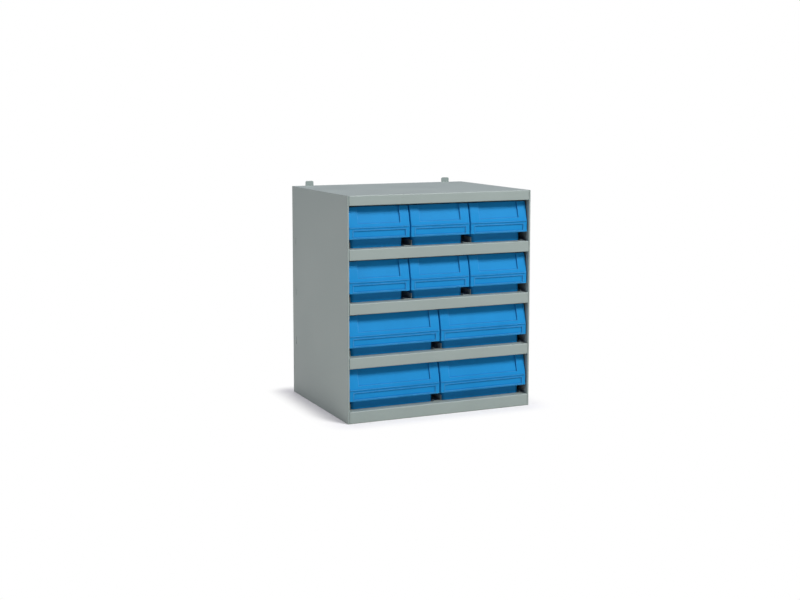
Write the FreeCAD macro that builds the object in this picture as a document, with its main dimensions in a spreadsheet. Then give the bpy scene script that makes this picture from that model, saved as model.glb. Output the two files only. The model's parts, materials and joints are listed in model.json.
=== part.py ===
"""Parts bin cabinet: an open-fronted sheet steel shell with three shelves and ten pull-out plastic bins.

Millimetres. +X is to the right, -Y is the open front and +Z is up. The origin is the middle of the
floor under the cabinet, so the part stands on z = 0.
"""

import FreeCAD
import Part
import math
import os
import Sketcher
from FreeCAD import Vector

os.makedirs("parts", exist_ok=True)
doc = FreeCAD.newDocument("parts_bin_cabinet")

# Every driving dimension, in millimetres, under the name that the model uses
SIZES = {
    # The shell as a whole
    "cabinet_width": 406,
    "cabinet_depth": 320,
    "cabinet_height": 450,
    # Folded sheet: its thickness, the inside of a fold, and the gap left between two folded parts
    "sheet": 1.2,
    "fold_radius": 0.6,
    "seam": 0.3,
    # Side panels: the hem down the front edge and the flange down the rear edge
    "hem_width": 4,
    "hem_depth": 11.5,
    "rear_flange": 12,
    # Front flanges of the top, the shelves and the base, and the lip folded back under each
    "top_flange": 20,
    "shelf_flange": 22,
    "base_flange": 24,
    "flange_lip": 10,
    "pan_rear_drop": 14,
    # Tabs on the shelves and the slots in the side panels that take them
    "tab_height": 14,
    "tab_drop": 7,
    "tab_setback": 20,
    "slot_clearance": 0.9,
    # Back panel and hanging lugs
    "back_sheet": 1,
    "lug_sheet": 2,
    "lug_width": 18,
    "lug_rise": 10,
    "lug_drop": 42,
    "lug_corner": 3,
    "lug_inset": 40,
    # Guides on the shelves between the bins
    "guide_sheet": 1,
    "guide_web": 11.5,
    "guide_lip": 3,
    "guide_clearance": 2,
    "guide_setback": 18,
    "guide_rear_gap": 6,
    # Bins: the gaps round them
    "bin_gap": 2.6,
    "end_gap": 1.2,
    "floor_clearance": 0.3,
    "head_clearance": 3.5,
    "rear_clearance": 3,
    # Bins: the tray
    "bin_wall": 2,
    "overhang": 9.5,
    "front_setback": 20,
    "draft": 1.5,
    "tray_corner": 8,
    "rim_width": 2.2,
    "rim_thickness": 2,
    # Bins: the hood over the front, its finger gap and its broken edges
    "crest_setback": 15.5,
    "band_setback": 5,
    "hood_bow": 1,
    "lip_rise": 19.4,
    "band_height": 22,
    "cheek_slope": 10,
    "hood_slope": 1.2,
    # Bins: the scoop, the ridge and the label field on the hood
    "scoop_inset": 20,
    "scoop_depth": 2.5,
    "scoop_drop": 32.5,
    "ridge_height": 2.8,
    "ridge_stand": 0.9,
    "ridge_inset": 1.8,
    "label_inset": 9.5,
    "label_height": 13,
    "label_drop": 5.8,
    "label_depth": 0.8,
    "bead_width": 1.4,
    "bead_stand": 0.6,
    # Bins: divider slots and the stop ears that catch behind the flange above
    "rib_depth": 2.5,
    "rib_thickness": 1.5,
    "divider_slot": 2,
    "rib_height": 58,
    "ear_length": 14,
    "ear_rise": 6.5,
    "ear_setback": 54.2,
    # How far a cut reaches past the material
    "overrun": 5,
}

WIDE_BINS = 2
NARROW_BINS = 3
BINS_PER_ROW = {"bottom": WIDE_BINS, "lower": WIDE_BINS, "middle": NARROW_BINS, "top": NARROW_BINS}
SHELVES = 3
DIVIDER_PLACES = 3
NEAR = 0.02


class Size:
    """A length together with the expression that ties it to the sheet."""

    def __init__(self, number, text):
        self.number = number
        self.text = text

    def __add__(self, other):
        other = as_size(other)
        return Size(self.number + other.number, f"({self.text} + {other.text})")

    def __sub__(self, other):
        other = as_size(other)
        return Size(self.number - other.number, f"({self.text} - {other.text})")

    def __mul__(self, other):
        other = as_size(other)
        return Size(self.number * other.number, f"({self.text} * {other.text})")

    def __truediv__(self, other):
        other = as_size(other)
        return Size(self.number / other.number, f"({self.text} / {other.text})")

    def __neg__(self):
        return Size(-self.number, f"(0 - {self.text})")

    __rmul__ = __mul__


def as_size(length):
    return length if isinstance(length, Size) else Size(length, str(length))


sheet = doc.addObject("Spreadsheet::Sheet", "Sizes")
for row, (alias, number) in enumerate(SIZES.items(), start=1):
    sheet.set(f"A{row}", alias)
    sheet.set(f"B{row}", str(number))
    sheet.setAlias(f"B{row}", alias)
doc.recompute()

s = type("Sheet", (), {alias: Size(number, f"Sizes.{alias}") for alias, number in SIZES.items()})

# Places that follow from the driving dimensions
FRONT = -(s.cabinet_depth + s.lug_sheet) / 2
BACK = s.cabinet_depth - s.back_sheet
BAY = (s.cabinet_height - s.top_flange - s.shelf_flange * SHELVES - s.base_flange) / (SHELVES + 1)
PITCH = BAY + s.shelf_flange
FLOORS = {row: s.base_flange + PITCH * level for level, row in enumerate(BINS_PER_ROW)}
BIN_TOP = BAY - s.head_clearance


def new_body(label, x, y, z):
    """Starts a body at a place that is tied to the sheet."""
    body = doc.addObject("PartDesign::Body", label)
    body.Label = label
    for axis, length in zip("xyz", (x, y, z)):
        body.setExpression(f"Placement.Base.{axis}", as_size(length).text)
    return body


def new_sketch(body, plane, label, offset=0):
    """Starts a sketch on one of the body's own planes, moved along that plane's normal."""
    sketch = body.newObject("Sketcher::SketchObject", label)
    support = next(feature for feature in body.Origin.OriginFeatures if feature.Role == plane)
    sketch.AttachmentSupport = [(support, "")]
    sketch.MapMode = "FlatFace"
    if offset:
        sketch.setExpression("AttachmentOffset.Base.z", offset.text)
    return sketch


def draw(sketch, corners):
    """Draws a closed outline with every corner tied to the sheet.

    A corner is a pair of lengths. Two more lengths are a point that the side leaving the corner
    passes through, and make that side an arc.
    """
    first = sketch.GeometryCount
    lengths = [[as_size(length) for length in corner] for corner in corners]
    points = [Vector(corner[0].number, corner[1].number, 0) for corner in lengths]
    through = []
    for number, corner in enumerate(lengths):
        start, end = points[number], points[(number + 1) % len(points)]
        if len(corner) > 2:
            middle = Vector(corner[2].number, corner[3].number, 0)
            sketch.addGeometry(Part.Arc(start, middle, end), False)
            turns = (middle - start).cross(end - middle).z
            through.append((first + number, corner[2:], middle, turns > 0))
        else:
            sketch.addGeometry(Part.LineSegment(start, end), False)
    # An arc that turns clockwise is stored from its end to its start
    clockwise = {side for side, _, _, anticlockwise in through if not anticlockwise}
    for number, corner in enumerate(lengths):
        side = first + number
        after = first + (number + 1) % len(lengths)
        start_of_side = 2 if side in clockwise else 1
        end_of_side = 1 if side in clockwise else 2
        start_of_next = 2 if after in clockwise else 1
        sketch.addConstraint(Sketcher.Constraint("Coincident", side, end_of_side, after, start_of_next))
        tie(sketch, side, start_of_side, corner[:2])
    for side, place, middle, _ in through:
        point = sketch.addGeometry(Part.Point(middle), True)
        tie(sketch, point, 1, place)
        sketch.addConstraint(Sketcher.Constraint("PointOnObject", point, 1, side))


def tie(sketch, geometry, end, place):
    """Ties one end of a piece of geometry to its lengths across and up from the sketch's origin."""
    for direction, length in zip(("DistanceX", "DistanceY"), place):
        index = sketch.addConstraint(Sketcher.Constraint(direction, -1, 1, geometry, end, length.number))
        sketch.setExpression(f"Constraints[{index}]", length.text)


def draw_box(sketch, left, low, right, high):
    draw(sketch, [(left, low), (right, low), (right, high), (left, high)])


def draw_tongue(sketch, half, low, high, radius):
    """Draws a box that is square at its low end and has rounded corners at its high end.

    The middle of each corner lies its radius, less half its diagonal, inside the box's own corner.
    """
    inset = radius * (1 - math.sqrt(0.5))
    draw(sketch, [
        (-half, low), (half, low), (half, high - radius, half - inset, high - inset), (half - radius, high),
        (radius - half, high, inset - half, high - inset), (-half, high - radius),
    ])


def pad(body, sketch, label, length, both_ways=False):
    feature = body.newObject("PartDesign::Pad", label)
    feature.Profile = sketch
    feature.setExpression("Length", length.text)
    feature.SideType = "Symmetric" if both_ways else "One side"
    sketch.Visibility = False


def pocket(body, sketch, label, length, both_ways=False):
    feature = body.newObject("PartDesign::Pocket", label)
    feature.Profile = sketch
    feature.setExpression("Length", length.text)
    feature.SideType = "Symmetric" if both_ways else "One side"
    sketch.Visibility = False
    return feature


def named_at(kind, elements, place):
    """Names the edges or faces whose corners all lie at the given coordinates in the body's own frame."""
    names = []
    for number, element in enumerate(elements, start=1):
        distances = [abs(getattr(vertex.Point, axis) - as_size(length).number)
                     for vertex in element.Vertexes for axis, length in place.items()]
        if max(distances) < NEAR:
            names.append(f"{kind}{number}")
    return names


def edges_between(shape, low, high):
    """Names the edges that run from one height up to another, such as the corners of a taper."""
    names = []
    for number, edge in enumerate(shape.Edges, start=1):
        heights = sorted(vertex.Point.z for vertex in edge.Vertexes)
        if abs(heights[0] - low.number) < NEAR and abs(heights[-1] - high.number) < NEAR:
            names.append(f"Edge{number}")
    return names


def edges_down_end(shape, end, height):
    """Names the edges that lie in the plane x = end and start or stop at the given height."""
    names = []
    for number, edge in enumerate(shape.Edges, start=1):
        points = [vertex.Point for vertex in edge.Vertexes]
        in_plane = all(abs(point.x - end.number) < NEAR for point in points)
        if in_plane and any(abs(point.z - height.number) < NEAR for point in points):
            names.append(f"Edge{number}")
    return names


def dress_edges(body, kind, label, measure, size, choose):
    """Adds a fillet or a chamfer along the edges that choose picks from the body's shape so far."""
    doc.recompute()
    base = body.Tip
    names = sorted(set(choose(base.Shape)))
    feature = body.newObject(kind, label)
    feature.Base = (base, names)
    feature.setExpression(measure, size.text)


def round_edges(body, label, radius, choose):
    dress_edges(body, "PartDesign::Fillet", label, "Radius", radius, choose)


def slope_edges(body, label, size, choose):
    dress_edges(body, "PartDesign::Chamfer", label, "Size", size, choose)


def fillet(body, label, radius, *places):
    """Rounds the edges that lie at any of the given places."""
    round_edges(body, label, radius, lambda shape: [
        name for place in places for name in named_at("Edge", shape.Edges, place)])


def taper(body, label, spread, height, inside, *places):
    """Leans walls outwards by spread over height, about where they stand at the body's zero height.

    inside says that the faces are those of a hollow.
    """
    doc.recompute()
    base = body.Tip
    names = [name for place in places for name in named_at("Face", base.Shape.Faces, place)]
    feature = body.newObject("PartDesign::Draft", label)
    feature.Base = (base, sorted(set(names)))
    plane = next(part for part in body.Origin.OriginFeatures if part.Role == "XY_Plane")
    feature.NeutralPlane = (plane, [""])
    feature.setExpression("Angle", f"atan({spread.text} / {height.text})")
    feature.Reversed = not inside


def make_side(label, hand):
    """A side panel, folded in a hem down its front edge and a flange down its rear edge.

    hand is 1 for the left panel, whose folds go towards +X, and -1 for the right one.
    """
    body = new_body(label, s.cabinet_width * (-0.5 * hand), FRONT, 0)
    section = new_sketch(body, "XY_Plane", label + "_section")
    outer, inner, rear = 0, s.sheet * hand, BACK
    corners = [
        (outer, rear),
        (outer, 0),
        (s.hem_width * hand, 0),
        (s.hem_width * hand, s.hem_depth),
        ((s.hem_width - s.sheet) * hand, s.hem_depth),
        ((s.hem_width - s.sheet) * hand, s.sheet),
        (inner, s.sheet),
        (inner, rear - s.sheet),
        (s.rear_flange * hand, rear - s.sheet),
        (s.rear_flange * hand, rear),
    ]
    draw(section, corners)
    pad(body, section, label + "_folded_sheet", s.cabinet_height)
    fillet(body, label + "_outer_folds", s.fold_radius + s.sheet, dict(x=0, y=0),
           dict(x=s.hem_width * hand, y=0), dict(x=0, y=rear))
    fillet(body, label + "_inner_folds", s.fold_radius, dict(x=inner, y=rear - s.sheet))

    # One slot for the tab of the lowest shelf, repeated at the shelf pitch
    slots = new_sketch(body, "YZ_Plane", label + "_slot_outline")
    slot_middle = s.cabinet_depth - s.tab_setback
    slot_half = s.sheet / 2 + s.slot_clearance
    slot_top = FLOORS["lower"] - s.tab_drop + s.slot_clearance
    slot_foot = slot_top - s.tab_height - s.slot_clearance * 2
    draw_box(slots, slot_middle - slot_half, slot_foot, slot_middle + slot_half, slot_top)
    slot = pocket(body, slots, label + "_slot", s.overrun, both_ways=True)
    pattern = body.newObject("PartDesign::LinearPattern", label + "_slots")
    pattern.Originals = [slot]
    pattern.Direction = (slots, ["V_Axis"])
    pattern.setExpression("Length", (PITCH * (SHELVES - 1)).text)
    pattern.Occurrences = SHELVES
    body.Tip = pattern
    return body


def make_pan(label, floor, flange, rear_drop, with_tabs):
    """The top, a shelf or the base: a plate folded down on all four sides, with a lip under the front.

    floor is the height of the plate's upper face, and flange is the height of the front fold.
    """
    body = new_body(label, 0, FRONT, floor)
    thick, lip = s.sheet, s.flange_lip
    between_hems = s.cabinet_width - s.hem_width * 2 - s.seam * 2
    between_flanges = s.cabinet_width - s.rear_flange * 2 - s.seam * 2
    half = s.cabinet_width / 2 - s.sheet
    outer = s.fold_radius + thick

    # Front to rear, between the rear flanges of the side panels
    section = new_sketch(body, "YZ_Plane", label + "_section")
    draw(section, [
        (0, 0), (0, -flange), (lip, -flange), (lip, thick - flange), (thick, thick - flange),
        (thick, -thick), (BACK - thick, -thick), (BACK - thick, -rear_drop), (BACK, -rear_drop), (BACK, 0),
    ])
    pad(body, section, label + "_plate", between_flanges, both_ways=True)

    # The front fold is wider and fills the space between the two hems
    front = new_sketch(body, "YZ_Plane", label + "_front_section")
    front_reach = s.hem_depth + s.seam + thick
    draw(front, [
        (0, 0), (0, -flange), (lip, -flange), (lip, thick - flange), (thick, thick - flange),
        (thick, -thick), (front_reach, -thick), (front_reach, 0),
    ])
    pad(body, front, label + "_front_fold", between_hems, both_ways=True)

    # Behind the hems the plate reaches the side panels and folds down against them
    behind_hem = s.hem_depth + s.seam
    before_flange = BACK - outer - s.seam
    sides = new_sketch(body, "XZ_Plane", label + "_side_section", -before_flange)
    draw(sides, [
        (-half, 0), (-half, -flange), (thick - half, -flange), (thick - half, -thick),
        (half - thick, -thick), (half - thick, -flange), (half, -flange), (half, 0),
    ])
    pad(body, sides, label + "_side_folds", before_flange - behind_hem)

    fillet(body, label + "_outer_folds", outer, dict(y=0, z=0), dict(y=0, z=-flange), dict(y=BACK, z=0),
           dict(x=half, z=0), dict(x=-half, z=0))
    fillet(body, label + "_inner_folds", s.fold_radius, dict(y=thick, z=-thick),
           dict(y=thick, z=thick - flange), dict(y=BACK - thick, z=-thick))

    if with_tabs:
        tabs = new_sketch(body, "XZ_Plane", label + "_tab_outline",
                          -(s.cabinet_depth - s.tab_setback + thick / 2))
        for hand in (-1, 1):
            inside = (half - thick / 2) * hand
            outside = (s.cabinet_width / 2) * hand
            draw_box(tabs, inside, -(s.tab_drop + s.tab_height), outside, -s.tab_drop)
        pad(body, tabs, label + "_tabs", thick)
    return body


def make_back():
    """The back panel: one flat sheet over the rear flanges of the sides and the top."""
    body = new_body("back_panel", 0, FRONT + s.cabinet_depth, 0)
    outline = new_sketch(body, "XZ_Plane", "back_outline")
    draw_box(outline, s.cabinet_width / -2, 0, s.cabinet_width / 2, s.cabinet_height)
    pad(body, outline, "back_sheet", s.back_sheet)
    return body


def make_lug(label, across):
    """A hanging lug: a flat strap fixed to the back panel, whose rounded end stands above the top."""
    body = new_body(label, across, FRONT + s.cabinet_depth + s.lug_sheet, s.cabinet_height)
    outline = new_sketch(body, "XZ_Plane", label + "_outline")
    draw_box(outline, s.lug_width / -2, -s.lug_drop, s.lug_width / 2, s.lug_rise)
    pad(body, outline, label + "_strap", s.lug_sheet)
    fillet(body, label + "_corners", s.lug_corner, dict(x=s.lug_width / 2, z=s.lug_rise),
           dict(x=s.lug_width / -2, z=s.lug_rise))
    return body


def make_guide(label, left, right, floor, left_leg, right_leg):
    """A guide strip on a shelf: a foot between two bins with a fold up along one or both of its edges.

    left and right are the two edges of the foot. An edge whose leg is None stays flat.
    """
    body = new_body(label, 0, FRONT, floor)
    rear = s.cabinet_depth - s.guide_rear_gap
    section = new_sketch(body, "XZ_Plane", label + "_section", -rear)
    thick = s.guide_sheet
    corners = [(left, 0), (right, 0)]
    if right_leg:
        corners += [(right, right_leg), (right - thick, right_leg), (right - thick, thick)]
    else:
        corners += [(right, thick)]
    if left_leg:
        corners += [(left + thick, thick), (left + thick, left_leg), (left, left_leg)]
    else:
        corners += [(left, thick)]
    draw(section, corners)
    pad(body, section, label + "_strip", rear - s.guide_setback)
    return body


def bin_width(count):
    """The width of a bin's hood where count bins share a row."""
    between_hems = s.cabinet_width - s.hem_width * 2
    return (between_hems - s.end_gap * 2 - s.bin_gap * (count - 1)) / count


def bin_middles(count):
    """How far each bin's middle lies from the middle of the cabinet."""
    step = bin_width(count) + s.bin_gap
    return [step * (number - (count - 1) / 2) for number in range(count)]


def make_bin(label, across, floor, width):
    """A moulded bin: a tapered open tray whose front carries a hood that hangs forward over it.

    In the body's own frame x is from the bin's middle, y is from the cabinet's front and z is from the
    shelf. Fingers reach up behind the hood's lip, in front of the tray's own front wall.
    """
    body = new_body(label, across, FRONT, floor)
    wall = s.bin_wall
    half_hood = width / 2
    half_tray = half_hood - s.overhang
    tray_front = s.front_setback
    rim_rear = BACK - s.sheet - s.rear_clearance
    tray_rear = rim_rear - s.rim_width
    low, high = s.floor_clearance, BIN_TOP

    # The tray: a block hollowed from above, whose sides and rear lean outwards
    floor_top = low + wall
    foot = new_sketch(body, "XY_Plane", label + "_foot", low)
    draw_box(foot, -half_tray, tray_front, half_tray, tray_rear - s.draft)
    pad(body, foot, label + "_block", high - low)
    mouth = new_sketch(body, "XY_Plane", label + "_mouth", high)
    draw_box(mouth, wall - half_tray, tray_front + wall, half_tray - wall, tray_rear - s.draft - wall)
    pocket(body, mouth, label + "_hollow", high - floor_top)
    taper(body, label + "_outer_draft", s.draft, high, False, dict(x=half_tray), dict(x=-half_tray),
          dict(y=tray_rear - s.draft))
    taper(body, label + "_inner_draft", s.draft, high, True, dict(x=half_tray - wall),
          dict(x=wall - half_tray), dict(y=tray_rear - s.draft - wall))
    round_edges(body, label + "_inner_corners", s.tray_corner - wall,
                lambda shape: edges_between(shape, floor_top, high))
    round_edges(body, label + "_corners", s.tray_corner, lambda shape: edges_between(shape, low, high))

    # The rim stands out round the top of the tray
    rim = new_sketch(body, "XY_Plane", label + "_rim_outline", high - s.rim_thickness)
    rim_half = half_tray + s.draft + s.rim_width
    draw_tongue(rim, rim_half, tray_front, rim_rear, s.tray_corner + s.rim_width)
    mid_half = half_tray + s.draft - wall / 2
    draw_tongue(rim, mid_half, tray_front + wall, tray_rear - wall / 2, s.tray_corner - wall / 2)
    pad(body, rim, label + "_rim", s.rim_thickness)

    # The hood: a bowed face above a plumb label band, with a cheek at each end and a wall behind it
    crest, band = s.crest_setback, s.band_setback
    crease = s.lip_rise + s.band_height
    hood = new_sketch(body, "YZ_Plane", label + "_hood_section")
    draw(hood, [
        (tray_front + wall, high), (crest, high, (crest + band) / 2 - s.hood_bow, (high + crease) / 2),
        (band, crease), (band, s.lip_rise), (band + wall, s.lip_rise),
        (tray_front + wall, s.lip_rise + s.cheek_slope),
    ])
    pad(body, hood, label + "_hood", width, both_ways=True)

    # Fingers reach up into the hood from below
    grip = new_sketch(body, "YZ_Plane", label + "_grip_section")
    draw(grip, [
        (band + wall, s.lip_rise - s.overrun), (band + wall, crease), (tray_front, high - wall),
        (tray_front, s.lip_rise - s.overrun),
    ])
    pocket(body, grip, label + "_grip", width - wall * 2, both_ways=True)

    # Pairs of ribs inside the side walls make slots for dividers
    ribs = new_sketch(body, "XY_Plane", label + "_rib_outline", low + wall / 2)
    hollow_length = tray_rear - tray_front
    rib_outside = half_tray - wall / 4
    rib_inside = half_tray - wall - s.rib_depth
    for place in range(1, DIVIDER_PLACES + 1):
        middle = tray_front + hollow_length * (place / (DIVIDER_PLACES + 1))
        for hand in (-1, 1):
            for side in (-1, 1):
                near = middle + s.divider_slot * (side / 2)
                far = near + s.rib_thickness * side
                draw_box(ribs, rib_inside * hand, near, rib_outside * hand, far)
    pad(body, ribs, label + "_divider_ribs", s.rib_height)

    # Stop ears on the rim catch behind the flange above when the bin is fully out
    ear_front = rim_rear - s.ear_setback
    for side, place in (("left", -half_tray - s.draft), ("right", half_tray + s.draft - wall)):
        ear = new_sketch(body, "YZ_Plane", f"{label}_{side}_ear_outline", place)
        draw(ear, [
            (ear_front, high - s.rim_thickness), (ear_front, high + s.ear_rise),
            (ear_front + s.ear_length / 3, high + s.ear_rise), (ear_front + s.ear_length, high),
            (ear_front + s.ear_length, high - s.rim_thickness),
        ])
        pad(body, ear, f"{label}_{side}_ear", wall)

    # The hood's face is broken at its two ends, where a hand meets it
    slope_edges(body, label + "_hood_ends", s.hood_slope, lambda shape: [
        name for end in (half_hood, -half_hood) for name in edges_down_end(shape, end, crease)])

    # A shallow scoop in the bowed face, deepest at the crest
    scoop = new_sketch(body, "YZ_Plane", label + "_scoop_section")
    scoop_foot = high - s.scoop_drop
    chord = crest - (crest - band) * (s.scoop_drop / (high - crease))
    ahead = band - s.overrun
    above = high + s.overrun
    draw(scoop, [
        (chord, scoop_foot), (crest + s.scoop_depth, high), (crest + s.scoop_depth, above),
        (ahead, above), (ahead, scoop_foot),
    ])
    pocket(body, scoop, label + "_scoop", width - s.scoop_inset * 2, both_ways=True)

    # A ridge runs along the crease over the label band
    ridge = new_sketch(body, "YZ_Plane", label + "_ridge_section")
    draw(ridge, [
        (band + wall / 2, crease - s.ridge_height / 2), (band - s.ridge_stand, crease - s.ridge_height / 4),
        (band - s.ridge_stand, crease + s.ridge_height / 4), (band + wall / 2, crease + s.ridge_height / 2),
    ])
    pad(body, ridge, label + "_ridge", width - s.ridge_inset * 2, both_ways=True)

    # The label field: a shallow recess with a fine bead round it
    label_half = half_hood - s.label_inset
    label_top = crease - s.label_drop
    label_foot = label_top - s.label_height
    bead = new_sketch(body, "XZ_Plane", label + "_bead_outline", -band)
    draw_box(bead, -label_half - s.bead_width, label_foot - s.bead_width, label_half + s.bead_width,
             label_top + s.bead_width)
    draw_box(bead, -label_half, label_foot, label_half, label_top)
    pad(body, bead, label + "_label_bead", s.bead_stand)
    field = new_sketch(body, "XZ_Plane", label + "_field_outline", -band)
    draw_box(field, -label_half, label_foot, label_half, label_top)
    pocket(body, field, label + "_label_field", s.label_depth)
    return body


def repeat_bin(label, pattern, across, floor):
    """Puts another bin of the same moulding at its own place."""
    copy = doc.addObject("App::Link", label)
    copy.LinkedObject = pattern
    copy.Label = label
    for axis, length in zip("xyz", (across, FRONT, floor)):
        copy.setExpression(f"Placement.Base.{axis}", as_size(length).text)
    return copy


nodes = [make_side("left_side", 1), make_side("right_side", -1)]
nodes.append(make_pan("top_panel", s.cabinet_height, s.top_flange, s.top_flange, False))
for name, row in (("lower_shelf", "lower"), ("middle_shelf", "middle"), ("upper_shelf", "top")):
    nodes.append(make_pan(name, FLOORS[row], s.shelf_flange, s.pan_rear_drop, True))
nodes.append(make_pan("base_panel", s.base_flange, s.base_flange, s.base_flange, False))
nodes.append(make_back())
lug_reach = s.cabinet_width / 2 - s.lug_inset
nodes += [make_lug("left_lug", -lug_reach), make_lug("right_lug", lug_reach)]

for row, count in BINS_PER_ROW.items():
    clear_of_bin = bin_width(count) / 2 - s.overhang + s.guide_clearance
    middles = bin_middles(count)
    floor = FLOORS[row]
    wall_face = s.cabinet_width / 2 - s.sheet
    nodes.append(make_guide(f"{row}_row_left_guide", -wall_face, middles[0] - clear_of_bin, floor,
                            None, s.guide_web))
    for number, (one, other) in enumerate(zip(middles, middles[1:]), start=1):
        nodes.append(make_guide(f"{row}_row_guide_{number}", one + clear_of_bin, other - clear_of_bin, floor,
                                s.guide_lip, s.guide_web))
    nodes.append(make_guide(f"{row}_row_right_guide", middles[-1] + clear_of_bin, wall_face, floor,
                            s.guide_lip, None))

# One bin of each width is modelled, and the others in its rows are the same moulding
mouldings = {}
for row, count in BINS_PER_ROW.items():
    for number, across in enumerate(bin_middles(count), start=1):
        label = f"{row}_row_bin_{number}"
        if count in mouldings:
            nodes.append(repeat_bin(label, mouldings[count], across, FLOORS[row]))
        else:
            mouldings[count] = make_bin(label, across, FLOORS[row], bin_width(count))
            nodes.append(mouldings[count])

doc.recompute()
for part in doc.Objects:
    if "Invalid" in part.State or "Error" in part.State:
        raise RuntimeError(f"{part.Label} did not build: {part.State} {part.getStatusString()}")
for node in nodes:
    if node.Shape.isNull() or not node.Shape.isValid():
        raise RuntimeError(f"{node.Label} has no valid shape")
    node.Shape.exportStep(f"parts/{node.Label}.step")
    box = node.Shape.BoundBox
    print(f"{node.Label:24s} solids {len(node.Shape.Solids):2d}  volume {node.Shape.Volume:10.1f}  "
          f"x {box.XMin:7.1f} {box.XMax:7.1f}  y {box.YMin:7.1f} {box.YMax:7.1f}  "
          f"z {box.ZMin:6.1f} {box.ZMax:6.1f}")
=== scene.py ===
import bmesh
import bpy
import json
import math
from mathutils import Matrix, Vector

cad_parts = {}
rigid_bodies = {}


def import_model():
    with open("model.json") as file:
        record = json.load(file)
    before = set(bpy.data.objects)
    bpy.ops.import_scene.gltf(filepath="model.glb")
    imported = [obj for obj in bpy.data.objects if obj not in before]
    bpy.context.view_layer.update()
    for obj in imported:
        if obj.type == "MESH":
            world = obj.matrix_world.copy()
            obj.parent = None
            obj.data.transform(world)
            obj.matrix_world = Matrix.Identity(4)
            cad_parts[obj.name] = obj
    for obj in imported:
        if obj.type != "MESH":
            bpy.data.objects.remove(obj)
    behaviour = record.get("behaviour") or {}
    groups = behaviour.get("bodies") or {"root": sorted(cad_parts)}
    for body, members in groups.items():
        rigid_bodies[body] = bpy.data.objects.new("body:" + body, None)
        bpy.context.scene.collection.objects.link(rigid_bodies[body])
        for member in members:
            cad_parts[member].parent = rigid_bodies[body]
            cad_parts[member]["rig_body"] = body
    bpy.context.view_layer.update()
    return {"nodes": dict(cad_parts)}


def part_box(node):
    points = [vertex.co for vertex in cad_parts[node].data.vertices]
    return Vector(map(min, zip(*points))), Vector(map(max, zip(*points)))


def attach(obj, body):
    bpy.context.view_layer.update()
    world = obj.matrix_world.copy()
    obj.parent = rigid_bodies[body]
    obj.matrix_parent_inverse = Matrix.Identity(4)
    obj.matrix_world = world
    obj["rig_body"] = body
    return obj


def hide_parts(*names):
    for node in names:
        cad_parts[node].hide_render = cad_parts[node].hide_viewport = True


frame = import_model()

nodes = frame["nodes"]
mm = 0.001

# The sheet steel shell: two sides, the top, three shelves, the base, the back, its two hanging lugs and
# the guide strips that keep the bins apart. Each is mild steel sheet, sheared, punched and folded on a
# press brake, spot welded, then powder coated grey, which leaves the sheared edges a little round.


def colour(hex_code):
    """Turns an sRGB hex code into the linear colour that a shader takes."""
    channels = [int(hex_code[place:place + 2], 16) / 255 for place in (1, 3, 5)]
    linear = [c / 12.92 if c <= 0.04045 else ((c + 0.055) / 1.055) ** 2.4 for c in channels]
    return (*linear, 1)


def add_node(tree, kind, feeds, **settings):
    """Adds one node to a tree, with its settings, and feeds its inputs with values or with sockets."""
    made = tree.nodes.new(kind)
    for name, value in settings.items():
        setattr(made, name, value)
    for name, value in feeds.items():
        if isinstance(value, bpy.types.NodeSocket):
            tree.links.new(value, made.inputs[name])
        else:
            made.inputs[name].default_value = value
    return made


def new_material(name):
    """Starts a material and gives back its tree and its output node."""
    material = bpy.data.materials.new(name)
    material.use_nodes = True
    material.node_tree.nodes.clear()
    output = material.node_tree.nodes.new("ShaderNodeOutputMaterial")
    return material, material.node_tree, output


# Powder coat, polyester, semi-gloss. Baked powder flows into a faint orange peel of about 1 mm, drawn
# here at 3 mm so that it shows, and its film is a little thicker in some patches than in others. It
# draws thin along the sheet's edges, where handling has rubbed it paler, and that paler edge is also a
# painted highlight. The folds are painted darker, partly as dust and partly as painted shade.
FILM_PATCH, ORANGE_PEEL, HANDLED_PATCH = 90 * mm, 3 * mm, 18 * mm
THIN_COAT_AND_HIGHLIGHT, DUST_AND_SHADE_FOLD = 0.5 * mm, 2.5 * mm
powder_coat, tree, output = new_material("powder_coated_steel")
place = add_node(tree, "ShaderNodeTexCoord", {})
film = add_node(tree, "ShaderNodeTexNoise", {
    "Vector": place.outputs["Object"], "Scale": 1 / FILM_PATCH, "Detail": 3.0, "Roughness": 0.5})
grain = add_node(tree, "ShaderNodeTexNoise", {
    "Vector": place.outputs["Object"], "Scale": 1 / ORANGE_PEEL, "Detail": 1.0, "Roughness": 0.4})
tone = add_node(tree, "ShaderNodeValToRGB", {"Fac": film.outputs["Fac"]})
tone.color_ramp.elements[0].position, tone.color_ramp.elements[1].position = 0.3, 0.7
tone.color_ramp.elements[0].color = colour("#96A39E")
tone.color_ramp.elements[1].color = colour("#9AA7A2")
edges = []
# The first mask finds outer edges, painted paler as rubbed coat and as a painted highlight; the second
# finds the folds, painted darker as dust and as painted shade.
for reach, outer in ((THIN_COAT_AND_HIGHLIGHT, True), (DUST_AND_SHADE_FOLD, False)):
    sensed = add_node(tree, "ShaderNodeAmbientOcclusion", {"Distance": reach}, samples=6, inside=outer,
                      only_local=True)
    edges.append(add_node(tree, "ShaderNodeMapRange", {
        "Value": sensed.outputs["AO"], "From Min": 0.95, "From Max": 0.55}))
thin_coat_and_highlight, dust_and_shade_fold = edges
handled = add_node(tree, "ShaderNodeTexNoise", {
    "Vector": place.outputs["Object"], "Scale": 1 / HANDLED_PATCH, "Detail": 4.0, "Roughness": 0.6})
handled = add_node(tree, "ShaderNodeMapRange", {
    "Value": handled.outputs["Fac"], "From Min": 0.35, "From Max": 0.65, "To Min": 0.35, "To Max": 0.9})
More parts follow.
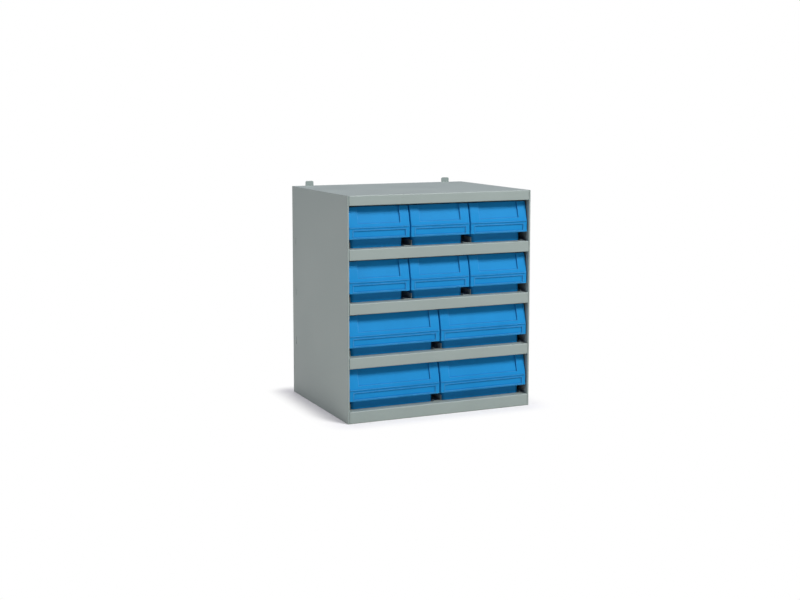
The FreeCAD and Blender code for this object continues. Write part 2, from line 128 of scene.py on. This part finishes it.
# Painted highlight: the outer edges turn pale grey, partly thin rubbed coat and partly a painted
# highlight
rub_and_highlight = add_node(tree, "ShaderNodeMath", {
    0: thin_coat_and_highlight.outputs["Result"], 1: handled.outputs["Result"]}, operation="MULTIPLY")
rubbed_and_highlit = add_node(tree, "ShaderNodeMix", {
    0: rub_and_highlight.outputs[0], 6: tone.outputs["Color"], 7: colour("#BCC6C3")}, data_type="RGBA")
# Painted shade: the folds turn dark grey, partly dust and partly painted shade in the creases
dust_and_shade = add_node(tree, "ShaderNodeMath", {0: dust_and_shade_fold.outputs["Result"], 1: 0.3}, operation="MULTIPLY")
tone = add_node(tree, "ShaderNodeMix", {
    0: dust_and_shade.outputs[0], 6: rubbed_and_highlit.outputs[2], 7: colour("#5E625F")}, data_type="RGBA")
gloss = add_node(tree, "ShaderNodeMapRange", {
    "Value": film.outputs["Fac"], "From Min": 0.3, "From Max": 0.7, "To Min": 0.40, "To Max": 0.48})
gloss = add_node(tree, "ShaderNodeMath", {
    0: rub_and_highlight.outputs[0], 1: -0.08, 2: gloss.outputs["Result"]}, operation="MULTIPLY_ADD")
peel = add_node(tree, "ShaderNodeBump", {
    "Height": grain.outputs["Fac"], "Strength": 0.12, "Distance": 0.2 * mm})
surface = add_node(tree, "ShaderNodeBsdfPrincipled", {
    "Base Color": tone.outputs[2], "Roughness": gloss.outputs[0], "IOR": 1.5,
    "Normal": peel.outputs["Normal"]})
tree.links.new(surface.outputs["BSDF"], output.inputs["Surface"])


# Corners nearer than this are one corner, and faces that turn by less than this are one flat face
SAME_CORNER, SAME_FACE = 0.001 * mm, math.radians(0.5)


def join_faces(form):
    """Joins a form's loose triangles, and makes each flat face of it whole."""
    bmesh.ops.remove_doubles(form, verts=form.verts, dist=SAME_CORNER)
    bmesh.ops.dissolve_limit(form, angle_limit=SAME_FACE, verts=form.verts, edges=form.edges)


def merged_form(node):
    """Copies a node's loose triangles into one joined form with whole flat faces."""
    form = bmesh.new()
    form.from_mesh(node.data)
    join_faces(form)
    return form


def applied(piece):
    """Turns a piece with live modifiers into a plain mesh, and gives that back."""
    bpy.context.view_layer.update()
    before = piece.data
    seen = piece.evaluated_get(bpy.context.evaluated_depsgraph_get())
    after = bpy.data.meshes.new_from_object(seen)
    piece.modifiers.clear()
    piece.data = after
    bpy.data.meshes.remove(before)
    after.name = piece.name
    return after


# An edge that turns by more than this is rounded, and one still sharper than the next stays crisp
EDGE_TURN, CRISP_TURN = math.radians(28), math.radians(40)


def ease_edges(form, name, width, steps, finish):
    """Turns a form into a piece with its sharp edges rounded, in one finish."""
    mesh = bpy.data.meshes.new(name)
    form.to_mesh(mesh)
    form.free()
    mesh.materials.clear()
    mesh.materials.append(finish)
    mesh.polygons.foreach_set("material_index", [0] * len(mesh.polygons))
    raw = bpy.data.objects.new(name, mesh)
    bpy.context.scene.collection.objects.link(raw)
    easing = raw.modifiers.new("eased_edges", "BEVEL")
    easing.width, easing.segments, easing.limit_method = width, steps, "ANGLE"
    easing.angle_limit, easing.use_clamp_overlap = EDGE_TURN, True
    easing.miter_outer = "MITER_ARC"
    eased = applied(raw)
    form = bmesh.new()
    form.from_mesh(eased)
    many_sided = [face for face in form.faces if len(face.verts) > 4]
    bmesh.ops.triangulate(form, faces=many_sided, ngon_method="EAR_CLIP")
    form.to_mesh(eased)
    form.free()
    eased.shade_smooth()
    eased.set_sharp_from_angle(angle=CRISP_TURN)
    flats = raw.modifiers.new("flat_faces", "WEIGHTED_NORMAL")
    flats.keep_sharp = True
    applied(raw)
    return raw


def cut_away(form, tool):
    """Cuts a tool's form out of another form, and frees the tool."""
    pair = []
    for shape in (form, tool):
        mesh = bpy.data.meshes.new("shape")
        shape.to_mesh(mesh)
        pair.append(bpy.data.objects.new("shape", mesh))
        bpy.context.scene.collection.objects.link(pair[-1])
    tool.free()
    blank, cutter = pair
    cut = blank.modifiers.new("cut", "BOOLEAN")
    cut.operation, cut.solver, cut.object = "DIFFERENCE", "EXACT", cutter
    applied(blank)
    form.clear()
    form.from_mesh(blank.data)
    join_faces(form)
    bpy.data.objects.remove(blank)
    bpy.data.objects.remove(cutter)


# Each lug is counterbored for two rivets, one above the other, so their heads lie flush in it
LUG_RIVETS, SEAT_RADIUS, SEAT_DEPTH = (415 * mm, 437 * mm), 3.6 * mm, 0.95 * mm
SHEET_ROUND = 0.3 * mm
for name, node in nodes.items():
    if node["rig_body"] == "cabinet":
        form = merged_form(node)
        if name in ("left_lug", "right_lug"):
            low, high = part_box(name)
            for height in LUG_RIVETS:
                bore = bmesh.new()
                seat = Matrix.Translation(((low.x + high.x) / 2, high.y, height))
                bmesh.ops.create_cone(
                    bore, cap_ends=True, segments=32, radius1=SEAT_RADIUS, radius2=SEAT_RADIUS,
                    depth=2 * SEAT_DEPTH, matrix=seat @ Matrix.Rotation(math.pi / 2, 4, "X"))
                cut_away(form, bore)
        panel = ease_edges(form, name + "_coated", SHEET_ROUND, 2, powder_coat)
        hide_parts(name)
        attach(panel, "cabinet")

# The bins: injection moulded polypropylene, mid blue with a satin skin, one mould for each width.
# The mould's own edges are eased, so every corner of the hood, rim and ribs carries a small round.

# Polypropylene, moulded against a fine-grained steel tool: a satin skin that clouds a little where the
# melt cooled unevenly. Its grain is drawn at 1.5 mm so that it shows. Hands and parts have scuffed the
# outer edges a little paler, a paleness that is also a painted highlight, and the inner corners are
# painted a deeper blue, partly as dust and partly as painted shade.
CLOUD, SKIN_GRAIN, SCUFF_AND_HIGHLIGHT_EDGE, DUST_AND_SHADE_CORNER = 50 * mm, 1.5 * mm, 0.5 * mm, 1.6 * mm
plastic, tree, output = new_material("moulded_polypropylene")
place = add_node(tree, "ShaderNodeTexCoord", {})
cloud = add_node(tree, "ShaderNodeTexNoise", {
    "Vector": place.outputs["Object"], "Scale": 1 / CLOUD, "Detail": 3.0, "Roughness": 0.5})
grain = add_node(tree, "ShaderNodeTexNoise", {
    "Vector": place.outputs["Object"], "Scale": 1 / SKIN_GRAIN, "Detail": 1.0, "Roughness": 0.4})
tone = add_node(tree, "ShaderNodeValToRGB", {"Fac": cloud.outputs["Fac"]})
tone.color_ramp.elements[0].position, tone.color_ramp.elements[1].position = 0.3, 0.7
tone.color_ramp.elements[0].color = colour("#1488C8")
tone.color_ramp.elements[1].color = colour("#188DCE")
edges = []
# The first mask finds outer edges, painted paler as scuffs and as a painted highlight; the second finds
# inner corners, painted a deeper blue as dust and as painted shade.
for reach, outer in ((SCUFF_AND_HIGHLIGHT_EDGE, True), (DUST_AND_SHADE_CORNER, False)):
    sensed = add_node(tree, "ShaderNodeAmbientOcclusion", {"Distance": reach}, samples=6, inside=outer,
                      only_local=True)
    edges.append(add_node(tree, "ShaderNodeMapRange", {
        "Value": sensed.outputs["AO"], "From Min": 0.95, "From Max": 0.55}))
scuff_and_highlight_edge, dust_and_shade_corner = edges
# Painted highlight: the outer edges turn pale blue, partly scuffs and partly a painted highlight
scuff_and_highlight = add_node(tree, "ShaderNodeMath", {
    0: scuff_and_highlight_edge.outputs["Result"], 1: cloud.outputs["Fac"]}, operation="MULTIPLY")
worn_and_highlit = add_node(tree, "ShaderNodeMix", {
    0: scuff_and_highlight.outputs[0], 6: tone.outputs["Color"], 7: colour("#86C8F0")}, data_type="RGBA")
# Painted shade: the inner corners turn deep blue, partly dust and partly painted shade in the recesses
dust_and_shade = add_node(tree, "ShaderNodeMath", {
    0: dust_and_shade_corner.outputs["Result"], 1: 0.45}, operation="MULTIPLY")
tone = add_node(tree, "ShaderNodeMix", {
    0: dust_and_shade.outputs[0], 6: worn_and_highlit.outputs[2], 7: colour("#1A4C8C")}, data_type="RGBA")
gloss = add_node(tree, "ShaderNodeMapRange", {
    "Value": cloud.outputs["Fac"], "From Min": 0.3, "From Max": 0.7, "To Min": 0.52, "To Max": 0.58})
skin = add_node(tree, "ShaderNodeBump", {
    "Height": grain.outputs["Fac"], "Strength": 0.1, "Distance": 0.1 * mm})
surface = add_node(tree, "ShaderNodeBsdfPrincipled", {
    "Base Color": tone.outputs[2], "Roughness": gloss.outputs["Result"], "IOR": 1.45,
    "Specular IOR Level": 0.18, "Normal": skin.outputs["Normal"]})
tree.links.new(surface.outputs["BSDF"], output.inputs["Surface"])

# The scoop in the hood is stepped all round its foot and sides. Its bed slopes back from foot to crest,
# and the tool that steps it goes this much deeper than the bed at each of the two.
SCOOP_INSET, SCOOP_FOOT, CREST = 20 * mm, 48.7 * mm, 81.2 * mm
BED_AT_FOOT, BED_AT_CREST, STEP_AT_FOOT, STEP_AT_CREST = 2.9 * mm, 13.9 * mm, 1.6 * mm, 0.5 * mm
TOOL_PROUD, TOOL_RISE, TOOL_LEAN = 2 * mm, 3 * mm, 1 * mm


def step_scoop(width):
    """Draws the tool that steps the scoop in a hood of this width, between its foot and its crest."""
    reach = width / 2 - SCOOP_INSET
    deep_foot, deep_crest = BED_AT_FOOT + STEP_AT_FOOT, BED_AT_CREST + STEP_AT_CREST
    section = [(-TOOL_PROUD, SCOOP_FOOT), (deep_foot, SCOOP_FOOT), (deep_crest, CREST),
               (deep_crest + TOOL_LEAN, CREST + TOOL_RISE), (-TOOL_PROUD, CREST + TOOL_RISE)]
    tool = bmesh.new()
    face = tool.faces.new([tool.verts.new((-reach, y, z)) for y, z in section])
    drawn = bmesh.ops.extrude_face_region(tool, geom=[face])["geom"]
    far_end = [corner for corner in drawn if isinstance(corner, bmesh.types.BMVert)]
    bmesh.ops.translate(tool, verts=far_end, vec=(2 * reach, 0, 0))
    bmesh.ops.recalc_face_normals(tool, faces=tool.faces)
    return tool


# The ridge, foremost of all, stands a little prouder than in the solid, and the label field lies deeper
RIDGE_PROUD, FIELD_FACE, FIELD_SUNK, TOUCH = 0.4 * mm, 1.7 * mm, 0.5 * mm, 0.05 * mm
MOULD_ROUND = 0.4 * mm
mouldings = {}
for name, node in nodes.items():
    if node["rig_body"] != "cabinet":
        low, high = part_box(name)
        width = round((high - low).x, 4)
        middle = Vector(((low.x + high.x) / 2, low.y, low.z))
        if width not in mouldings:
            form = merged_form(node)
            bmesh.ops.translate(form, verts=form.verts, vec=-middle)
            cut_away(form, step_scoop(width))
            for corner in form.verts:
                if corner.co.y < TOUCH:
                    corner.co.y -= RIDGE_PROUD
                elif abs(corner.co.y - FIELD_FACE) < TOUCH and corner.co.z < SCOOP_FOOT:
                    corner.co.y += FIELD_SUNK
            pattern_name = f"bin_moulding_{len(mouldings) + 1}"
            mouldings[width] = ease_edges(form, pattern_name, MOULD_ROUND, 2, plastic)
        mesh = mouldings[width].data.copy()
        mesh.transform(Matrix.Translation(middle))
        tray = bpy.data.objects.new(name + "_moulding", mesh)
        bpy.context.scene.collection.objects.link(tray)
        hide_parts(name)
        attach(tray, name)
for pattern in mouldings.values():
    bpy.data.objects.remove(pattern)

# The blind rivets: aluminium heads pulled down on the back panel in two upright rows, where they hold it
# to the sides' rear flanges, and two in each lug. Each shows its mandrel's stub in the middle.

# Drawn aluminium, left bare: bright metal, dulled in specks of about a millimetre where the riveting
# tool's nose pressed on it.
SCUFF_SPECK = 1.2 * mm
aluminium, tree, output = new_material("drawn_aluminium")
place = add_node(tree, "ShaderNodeTexCoord", {})
scuff = add_node(tree, "ShaderNodeTexNoise", {
    "Vector": place.outputs["Object"], "Scale": 1 / SCUFF_SPECK, "Detail": 2.0, "Roughness": 0.6})
tone = add_node(tree, "ShaderNodeValToRGB", {"Fac": scuff.outputs["Fac"]})
tone.color_ramp.elements[0].position, tone.color_ramp.elements[1].position = 0.35, 0.7
tone.color_ramp.elements[0].color = colour("#B9BCBF")
tone.color_ramp.elements[1].color = colour("#CDD0D2")
gloss = add_node(tree, "ShaderNodeMapRange", {
    "Value": scuff.outputs["Fac"], "To Min": 0.28, "To Max": 0.45})
surface = add_node(tree, "ShaderNodeBsdfPrincipled", {
    "Base Color": tone.outputs["Color"], "Metallic": 1.0, "Roughness": gloss.outputs["Result"]})
tree.links.new(surface.outputs["BSDF"], output.inputs["Surface"])

ROW_REACH, ROW_HEIGHTS = 196 * mm, (66.5 * mm, 173.5 * mm, 280.5 * mm, 387.5 * mm)
HEAD_RADIUS, HEAD_HEIGHT, MANDREL_RADIUS = 3.25 * mm, 0.8 * mm, 1.0 * mm
back_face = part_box("back_panel")[1].y
places = [(x, back_face, z) for x in (-ROW_REACH, ROW_REACH) for z in ROW_HEIGHTS]
for name in ("left_lug", "right_lug"):
    low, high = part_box(name)
    places += [((low.x + high.x) / 2, high.y - SEAT_DEPTH, z) for z in LUG_RIVETS]
spots = bpy.data.meshes.new("blind_rivets")
spots.from_pydata(places, [], [])
rivets = bpy.data.objects.new("blind_rivets", spots)
bpy.context.scene.collection.objects.link(rivets)
riveting = bpy.data.node_groups.new("blind_rivets", "GeometryNodeTree")
for socket, kind in (("Spots", "NodeSocketGeometry"), ("Head Radius", "NodeSocketFloat"),
                     ("Head Height", "NodeSocketFloat"), ("Mandrel Radius", "NodeSocketFloat"),
                     ("Metal", "NodeSocketMaterial")):
    riveting.interface.new_socket(socket, in_out="INPUT", socket_type=kind)
riveting.interface.new_socket("Rivets", in_out="OUTPUT", socket_type="NodeSocketGeometry")
sizes = add_node(riveting, "NodeGroupInput", {})
brow = add_node(riveting, "ShaderNodeMath", {
    0: sizes.outputs["Head Radius"], 1: 0.7}, operation="MULTIPLY")
stub = add_node(riveting, "ShaderNodeMath", {
    0: sizes.outputs["Head Height"], 1: 1.15}, operation="MULTIPLY")
head = add_node(riveting, "GeometryNodeMeshCone", {
    "Vertices": 32, "Radius Top": brow.outputs[0], "Radius Bottom": sizes.outputs["Head Radius"],
    "Depth": sizes.outputs["Head Height"]})
mandrel = add_node(riveting, "GeometryNodeMeshCone", {
    "Vertices": 16, "Radius Top": sizes.outputs["Mandrel Radius"],
    "Radius Bottom": sizes.outputs["Mandrel Radius"], "Depth": stub.outputs[0]})
rivet = add_node(riveting, "GeometryNodeJoinGeometry", {})
riveting.links.new(mandrel.outputs["Mesh"], rivet.inputs["Geometry"])
riveting.links.new(head.outputs["Mesh"], rivet.inputs["Geometry"])
set_out = add_node(riveting, "GeometryNodeInstanceOnPoints", {
    "Points": sizes.outputs["Spots"], "Instance": rivet.outputs["Geometry"],
    "Rotation": (math.radians(-90), 0, 0)})
real = add_node(riveting, "GeometryNodeRealizeInstances", {"Geometry": set_out.outputs["Instances"]})
painted = add_node(riveting, "GeometryNodeSetMaterial", {
    "Geometry": real.outputs["Geometry"], "Material": sizes.outputs["Metal"]})
add_node(riveting, "NodeGroupOutput", {"Rivets": painted.outputs["Geometry"]})
pulled = rivets.modifiers.new("riveting", "NODES")
pulled.node_group = riveting
given = {"Head Radius": HEAD_RADIUS, "Head Height": HEAD_HEIGHT, "Mandrel Radius": MANDREL_RADIUS,
         "Metal": aluminium}
for item in riveting.interface.items_tree:
    if item.name in given:
        pulled[item.identifier] = given[item.name]
heads = applied(rivets)
heads.shade_smooth()
heads.set_sharp_from_angle(angle=math.radians(30))
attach(rivets, "cabinet")

# The stage: a wide floor of white studio paper that keeps the cabinet's soft shadow. To the camera it
# turns plain white a short way past the cabinet's foot, and light that falls on it bounces up the front.
FLOOR_REACH, FLOOR_DROP = 14.0, 0.2 * mm
FOOT, SHADOW_REACH = (203 * mm, 161 * mm, 0), 60 * mm
floor_mesh = bpy.data.meshes.new("floor")
corners = [(x * FLOOR_REACH, y * FLOOR_REACH, 0) for x, y in ((-1, -1), (1, -1), (1, 1), (-1, 1))]
floor_mesh.from_pydata(corners, [], [(0, 1, 2, 3)])
floor = bpy.data.objects.new("floor", floor_mesh)
floor.location.z = -FLOOR_DROP
bpy.context.scene.collection.objects.link(floor)
paper, tree, output = new_material("studio_paper")
rays = add_node(tree, "ShaderNodeLightPath", {})
seen = add_node(tree, "ShaderNodeMath", {
    0: rays.outputs["Is Camera Ray"], 1: rays.outputs["Is Glossy Ray"]}, operation="MAXIMUM")
seen = add_node(tree, "ShaderNodeMath", {
    0: seen.outputs[0], 1: rays.outputs["Is Transmission Ray"]}, operation="MAXIMUM")
glow = add_node(tree, "ShaderNodeMath", {0: seen.outputs[0], 1: 0.13}, operation="MULTIPLY")
place = add_node(tree, "ShaderNodeTexCoord", {})
across = add_node(tree, "ShaderNodeVectorMath", {0: place.outputs["Object"]}, operation="ABSOLUTE")
past_foot = add_node(tree, "ShaderNodeVectorMath", {0: across.outputs[0], 1: FOOT}, operation="SUBTRACT")
past_foot = add_node(tree, "ShaderNodeVectorMath", {
    0: past_foot.outputs[0], 1: (0, 0, 0)}, operation="MAXIMUM")
away = add_node(tree, "ShaderNodeVectorMath", {0: past_foot.outputs[0]}, operation="LENGTH")
far = add_node(tree, "ShaderNodeMapRange", {
    "Value": away.outputs["Value"], "From Min": 0.0, "From Max": SHADOW_REACH},
    interpolation_type="SMOOTHSTEP")
white = add_node(tree, "ShaderNodeMath", {
    0: far.outputs["Result"], 1: seen.outputs[0]}, operation="MULTIPLY")
tint = add_node(tree, "ShaderNodeMix", {
    0: rays.outputs["Is Camera Ray"], 6: colour("#D6D6CE"), 7: colour("#E6E6E6")}, data_type="RGBA")
near_paper = add_node(tree, "ShaderNodeBsdfPrincipled", {
    "Base Color": tint.outputs[2], "Roughness": 0.9, "Specular IOR Level": 0.1,
    "Emission Color": (1, 1, 1, 1), "Emission Strength": glow.outputs[0]})
bright = add_node(tree, "ShaderNodeEmission", {"Color": (1, 1, 1, 1), "Strength": 1.0})
both = add_node(tree, "ShaderNodeMixShader", {
    0: white.outputs[0], 1: near_paper.outputs["BSDF"], 2: bright.outputs["Emission"]})
tree.links.new(both.outputs["Shader"], output.inputs["Surface"])
floor_mesh.materials.append(paper)

# The studio round it is plain white to the camera, and gives the steel and plastic a weak, cool fill
STUDIO_FILL = 0.16
studio = bpy.data.worlds.new("studio")
studio.use_nodes = True
bpy.context.scene.world = studio
tree = studio.node_tree
tree.nodes.clear()
rays = add_node(tree, "ShaderNodeLightPath", {})
seen = add_node(tree, "ShaderNodeMath", {
    0: rays.outputs["Is Camera Ray"], 1: rays.outputs["Is Transmission Ray"]}, operation="MAXIMUM")
strength = add_node(tree, "ShaderNodeMapRange", {
    "Value": seen.outputs[0], "To Min": STUDIO_FILL, "To Max": 1.0})
sky_tint = add_node(tree, "ShaderNodeMix", {
    0: seen.outputs[0], 6: (1.05, 0.92, 1.3, 1), 7: (1, 1, 1, 1)}, data_type="RGBA")
sky = add_node(tree, "ShaderNodeBackground", {
    "Color": sky_tint.outputs[2], "Strength": strength.outputs["Result"]})
add_node(tree, "ShaderNodeOutputWorld", {"Surface": sky.outputs["Background"]})


MID_HEIGHT = 220 * mm


def area_light(name, azimuth, elevation, distance, size, watts):
    """Hangs a square soft light round the cabinet: degrees to its right, degrees up, and metres away."""
    light = bpy.data.lights.new(name, "AREA")
    light.shape, light.size, light.energy = "SQUARE", size, watts
    lamp = bpy.data.objects.new(name, light)
    turn, rise = math.radians(azimuth), math.radians(elevation)
    away = Vector((math.sin(turn) * math.cos(rise), -math.cos(turn) * math.cos(rise), math.sin(rise)))
    lamp.location = Vector((0, 0, MID_HEIGHT)) + away * distance
    lamp.rotation_euler = away.to_track_quat("Z", "Y").to_euler()
    bpy.context.scene.collection.objects.link(lamp)


area_light("key_light", azimuth=28, elevation=46.5, distance=4.6, size=1.3, watts=182)
area_light("back_light", azimuth=175, elevation=62, distance=4.0, size=2.0, watts=47)
area_light("left_light", azimuth=-80, elevation=30, distance=3.5, size=2.0, watts=27)

# The camera stands where the photograph's did, a little above the cabinet's top and to its left. Its
# focal length was fitted in pixels of a picture that is 800 of them wide.
IMAGE_WIDTH, FOCAL_PIXELS, SENSOR_WIDTH = 800, 1292.6, 36.0
camera_data = bpy.data.cameras.new("camera")
camera = bpy.data.objects.new("camera", camera_data)
bpy.context.scene.collection.objects.link(camera)
bpy.context.scene.camera = camera
camera.location = (-1.12109, -2.47280, 0.63153)
turn_right, tilt_down = 0.4190, 0.1070
camera.rotation_euler = (math.pi / 2 - tilt_down, 0, -turn_right)
camera_data.sensor_width = SENSOR_WIDTH
camera_data.lens = FOCAL_PIXELS * SENSOR_WIDTH / IMAGE_WIDTH
camera_data.shift_y = -0.075
bpy.context.scene.view_settings.view_transform = "Standard"
